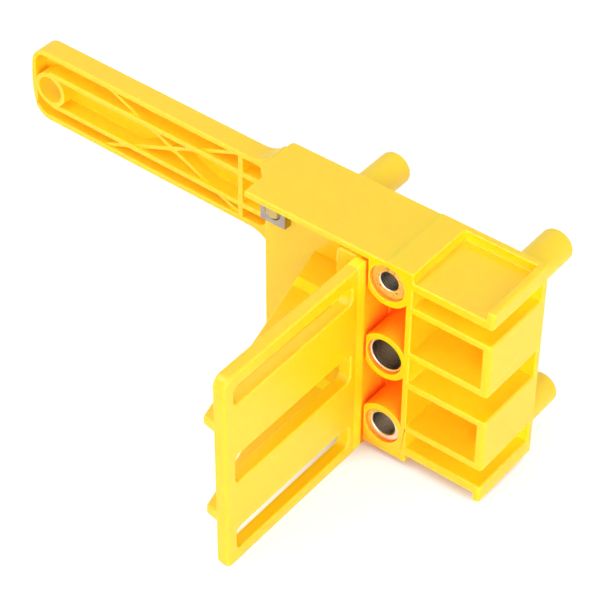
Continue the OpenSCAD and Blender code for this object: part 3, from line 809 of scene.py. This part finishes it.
# The bore tones are painted shade, darkest for the wide 10 mm bore.
for piece, name, bore, bore_shade in zip(
        bush_pieces, ("bush_6mm", "bush_10mm", "bush_8mm"), (3, 5, 4),
        ((0.77, 0.72, 0.66, 1), (0.55, 0.47, 0.39, 1), (0.75, 0.69, 0.61, 1))):
    piece.data.materials.append(metal("turned_steel_" + name[5:], STEEL_AND_PAINTED_REFLECTION, DARK_STEEL_AND_PAINTED_REFLECTION, 0.24,
                                      centre_of(name), 2600.0, 0.05, bore, bore_shade,
                                      pitted=(bore == 3)))
bolt.data.materials.append(metal("yellow_zinc_bolt", YELLOW_ZINC, DARK_YELLOW_ZINC, 0.25,
                                 centre_of("pivot_bolt"), 2500.0, 0.03))
nut.data.materials.append(metal("zinc_nut", NUT_ZINC_SHADE_AND_REFLECTION, DARK_NUT_ZINC_SHADE_AND_REFLECTION, 0.3,
                                centre_of("square_nut"), 900.0, 0.02))
for piece, name in zip(washers, ("pivot_washer", "fence_washer_upper", "fence_washer_lower")):
    piece.data.materials.append(metal("zinc_" + name, ZINC, WASHER_BLOTCH, 0.26,
                                      centre_of(name), 2500.0, 0.03))
for piece, name in zip(fence_screws, ("fence_screw_upper", "fence_screw_lower")):
    piece.data.materials.append(metal("zinc_" + name, ZINC, SCREW_BLOTCH, 0.24,
                                      centre_of(name), 2500.0, 0.03))
for piece, name in zip(inserts, ("insert_upper", "insert_lower")):
    piece.data.materials.append(metal("brass_" + name, BRASS, DARK_BRASS, 0.3,
                                      centre_of(name), 2500.0, 0.03))
print("materials", [m.name for m in bpy.data.materials])

# %% [markdown]
# ## Light
# A pale studio: a white world, soft area lamps and a floor that is white to the camera. The
# floor still takes the jig's shadow. Close under the jig an occlusion mask dims the floor's glow,
# a painted contact shadow, and turns it orange, a painted bounce of the jig's colour.

# %% World
world = bpy.data.worlds.new("studio")
scene.world = world
world.use_nodes = True
tree = world.node_tree
tree.nodes.clear()
output = tree.nodes.new("ShaderNodeOutputWorld")
seen = node(tree, "ShaderNodeBackground", Color=(1, 1, 1, 1), Strength=1.0)
lighting = node(tree, "ShaderNodeBackground", Color=(1, 1, 1, 1), Strength=0.6)

def bright_rays(tree):
    path = tree.nodes.new("ShaderNodeLightPath")
    either = maths(tree, "MAXIMUM", path.outputs["Is Camera Ray"], path.outputs["Is Glossy Ray"])
    return maths(tree, "MAXIMUM", either, path.outputs["Is Transmission Ray"])

mix = tree.nodes.new("ShaderNodeMixShader")
tree.links.new(bright_rays(tree), mix.inputs[0])
tree.links.new(lighting.outputs[0], mix.inputs[1])
tree.links.new(seen.outputs[0], mix.inputs[2])
tree.links.new(mix.outputs[0], output.inputs["Surface"])
print("world", world.name)

# %% Floor
bpy.ops.object.select_all(action="DESELECT")
bpy.ops.mesh.primitive_plane_add(size=6, location=(0, 0, cad_box[0][2] - 0.05 * mm))
floor = bpy.context.object
floor.name = "floor"
floor_paint = bpy.data.materials.new("pale_floor")
floor_paint.use_nodes = True
tree = floor_paint.node_tree
tree.nodes.clear()
output = tree.nodes.new("ShaderNodeOutputMaterial")
paint = node(tree, "ShaderNodeBsdfDiffuse", Color=(0.86, 0.86, 0.86, 1))
faint = node(tree, "ShaderNodeBsdfDiffuse", Color=(0.45, 0.45, 0.45, 1))
glow = node(tree, "ShaderNodeEmission", Color=(1, 1, 1, 1))
opened = node(tree, "ShaderNodeAmbientOcclusion", {"samples": 10}, Distance=20 * mm)
# Painted contact shadow and painted bounce light: near the jig the occlusion mask dims the glow
# and turns it orange.
tree.links.new(ramp(tree, opened.outputs["AO"], 0.2, 0.48, 0.25, 0.7), glow.inputs["Strength"])
painted_bounce_tint = mix_colour(tree, ramp(tree, opened.outputs["AO"], 0.14, 0.4), (1.0, 0.62, 0.25, 1),
                  (1.0, 1.0, 1.0, 1))
tree.links.new(painted_bounce_tint, glow.inputs["Color"])
add = tree.nodes.new("ShaderNodeAddShader")
mix = tree.nodes.new("ShaderNodeMixShader")
tree.links.new(faint.outputs[0], add.inputs[0])
tree.links.new(glow.outputs[0], add.inputs[1])
tree.links.new(bright_rays(tree), mix.inputs[0])
tree.links.new(paint.outputs[0], mix.inputs[1])
tree.links.new(add.outputs[0], mix.inputs[2])
tree.links.new(mix.outputs[0], output.inputs["Surface"])
floor.data.materials.append(floor_paint)
print("floor at", round(floor.location.z / mm, 2), "mm")

# %% Lamps
def lamp(name, place, size, power):
    data = bpy.data.lights.new(name, "AREA")
    data.shape = "DISK"
    data.size = size
    data.energy = power
    made = bpy.data.objects.new(name, data)
    scene.collection.objects.link(made)
    made.location = target + Vector(place)
    made.rotation_euler = (-Vector(place)).to_track_quat("-Z", "Y").to_euler()
    print("lamp", name, power, "W")

lamp("front", (0.65, -1.1, 0.35), 1.0, 9.6)
lamp("right", (1.2, 0.1, 0.4), 0.9, 4.5)
lamp("above", (-0.5, -0.4, 1.1), 0.9, 5.8)
